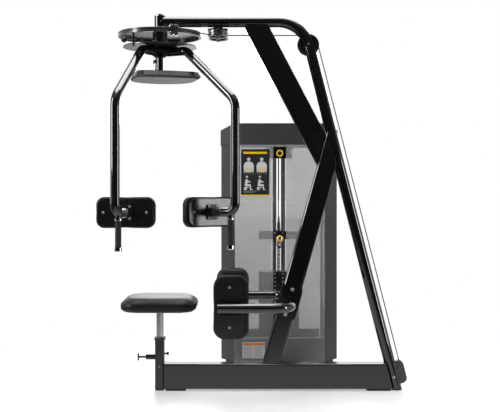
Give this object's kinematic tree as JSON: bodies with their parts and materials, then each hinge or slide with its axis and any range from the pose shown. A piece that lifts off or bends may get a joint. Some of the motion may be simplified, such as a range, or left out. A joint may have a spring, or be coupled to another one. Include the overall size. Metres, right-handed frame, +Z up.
{
  "type": "rotary torso machine",
  "caption": "Seated torso rotation machine: arms with chest pads swing under an overhead boom and draw a cable that lifts a selectorised weight stack in a panelled tower",
  "frame": {"origin": "On the floor under the vertical axis shared by the seat post and the overhead hub", "axes": "+X along the base beam to the rear leg, +Y to the weight tower, +Z up"},
  "size_m": [1.5153, 1.2232, 1.8766],
  "materials": {
    "gloss_black": "gloss",
    "satin_grey": "satin",
    "steel": "satin",
    "chrome": "polished",
    "rubber_black": "matte",
    "plate_black": "matte",
    "smoked_sheet": "gloss",
    "grey_plastic": "textured",
    "board_black": "satin",
    "pad_black": "satin",
    "pulley_black": "satin",
    "pulley_grey": "satin",
    "cable_black": "gloss",
    "placard_dark": "satin",
    "pin_yellow": "gloss"
  },
  "bodies": {
    "frame": {"main_tube": "gloss_black", "base_beam": "satin_grey", "lower_strut": "gloss_black", "upper_strut": "gloss_black", "pivot_housing": "gloss_black", "pivot_bearings": "steel", "seat_sleeve": "gloss_black", "seat_bush": "grey_plastic", "rubber_feet": "rubber_black", "tower_base": "satin_grey", "tower_frame": "satin_grey", "guide_rods": "steel", "stack_bumpers": "rubber_black", "weight_plates": "plate_black", "front_panel": "smoked_sheet", "rear_panel": "smoked_sheet", "side_panels": "grey_plastic", "top_cap": "grey_plastic", "info_plates": "placard_dark", "guide_bracket": "gloss_black", "pulley_axles": "steel", "rear_pulley_guard": "satin_grey", "drive_cable": "cable_black", "leg_bracket": "gloss_black", "leg_bars": "gloss_black", "leg_boards": "board_black", "near_leg_pad": "pad_black", "far_leg_pad": "pad_black", "frame_bolts": "steel"},
    "cam": {"index_disc": "satin_grey", "cable_anchor": "chrome"},
    "rig": {"spindle": "steel", "spindle_nut": "steel", "carrier_disc": "satin_grey", "hub": "gloss_black", "arms": "gloss_black", "chest_brackets": "gloss_black", "chest_boards": "board_black", "left_chest_pad": "pad_black", "right_chest_pad": "pad_black", "handle_grips": "rubber_black", "grip_collars": "chrome", "head_guard": "grey_plastic", "stay_rod": "steel"},
    "index_pin": {"index_plunger": "steel"},
    "lever": {"release_lever": "gloss_black"},
    "stack": {"lifted_plates": "plate_black", "selector_stem": "steel"},
    "selector": {"selector_pin": "pin_yellow"},
    "increment": {"increment_weight": "plate_black"},
    "seat": {"seat_post": "chrome", "seat_cushion": "pad_black"},
    "seat_plunger": {"seat_pin": "steel"},
    "guide_near": {"near_guide_pulley": "pulley_grey"},
    "guide_far": {"far_guide_pulley": "pulley_grey"},
    "corner": {"corner_pulley": "pulley_black"},
    "rear": {"rear_pulley": "pulley_black"},
    "turn": {"turn_pulley": "pulley_black"},
    "tower_base_wheel": {"tower_base_pulley": "pulley_black"},
    "tower_top_wheel": {"tower_top_pulley": "pulley_black"}
  },
  "joints": [
    {"name": "cam_turn", "type": "hinge", "parent": "frame", "child": "cam", "pos_m": [0, 0, 1.7685], "axis": [0, 0, 1], "range_deg": [-20, 50]},
    {"name": "rig_index", "type": "hinge", "parent": "cam", "child": "rig", "pos_m": [0, 0, 1.71], "axis": [0, 0, 1], "range_deg": [-30, 30]},
    {"name": "index_slide", "type": "slide", "parent": "rig", "child": "index_pin", "axis": [0, 0, -1], "range_m": [0, 0.008]},
    {"name": "lever_turn", "type": "hinge", "parent": "rig", "child": "lever", "pos_m": [-0.09351, -0.09031, 1.734], "axis": [0.6947, -0.7193, 0], "range_deg": [0, 13.1]},
    {"name": "stack_lift", "type": "slide", "parent": "frame", "child": "stack", "axis": [0, 0, 1], "range_m": [-0.17959, 0.07184]},
    {"name": "selector_slide", "type": "slide", "parent": "stack", "child": "selector", "axis": [0, -1, 0], "range_m": [0, 0.05]},
    {"name": "increment_slide", "type": "slide", "parent": "frame", "child": "increment", "axis": [0, 0, 1], "range_m": [-0.3, 0]},
    {"name": "seat_height", "type": "slide", "parent": "frame", "child": "seat", "axis": [0, 0, 1], "range_m": [-0.04, 0.12]},
    {"name": "seat_pin_pull", "type": "slide", "parent": "frame", "child": "seat_plunger", "axis": [-1, 0, 0], "range_m": [0, 0.012]},
    {"name": "guide_near_spin", "type": "hinge", "parent": "frame", "child": "guide_near", "pos_m": [0.291, -0.049, 1.7695], "axis": [0, 0, 1], "range_deg": [-210, 84]},
    {"name": "guide_far_spin", "type": "hinge", "parent": "frame", "child": "guide_far", "pos_m": [0.291, 0.049, 1.7695], "axis": [0, 0, 1], "range_deg": [-84, 210]},
    {"name": "corner_spin", "type": "hinge", "parent": "frame", "child": "corner", "pos_m": [0.741, 0, 1.722], "axis": [0, 1, 0], "range_deg": [-86.65, 216.63]},
    {"name": "rear_spin", "type": "hinge", "parent": "frame", "child": "rear", "pos_m": [1.165, 0, 0.068], "axis": [0, 1, 0], "range_deg": [-86.65, 216.63]},
    {"name": "turn_spin", "type": "hinge", "parent": "frame", "child": "turn", "pos_m": [0.6575, 0.0475, 0.0205], "axis": [0, 0, 1], "range_deg": [-216.63, 86.65]},
    {"name": "tower_base_wheel_spin", "type": "hinge", "parent": "frame", "child": "tower_base_wheel", "pos_m": [0.61, 0.604, 0.0545], "axis": [1, 0, 0], "range_deg": [-121.06, 302.65]},
    {"name": "tower_top_wheel_spin", "type": "hinge", "parent": "frame", "child": "tower_top_wheel", "pos_m": [0.61, 0.604, 1.3], "axis": [1, 0, 0], "range_deg": [-121.06, 302.65]}
  ],
  "couplings": [
    {"joint": "stack_lift", "follows": "cam_turn", "m_per_rad": -0.2058},
    {"joint": "lever_turn", "follows": "index_slide", "rad_per_m": 28.571},
    {"joint": "guide_near_spin", "follows": "cam_turn", "ratio": -4.2},
    {"joint": "guide_far_spin", "follows": "cam_turn", "ratio": 4.2},
    {"joint": "corner_spin", "follows": "cam_turn", "ratio": 4.3326},
    {"joint": "rear_spin", "follows": "cam_turn", "ratio": 4.3326},
    {"joint": "turn_spin", "follows": "cam_turn", "ratio": -4.3326},
    {"joint": "tower_base_wheel_spin", "follows": "cam_turn", "ratio": 6.0529},
    {"joint": "tower_top_wheel_spin", "follows": "cam_turn", "ratio": 6.0529}
  ]
}
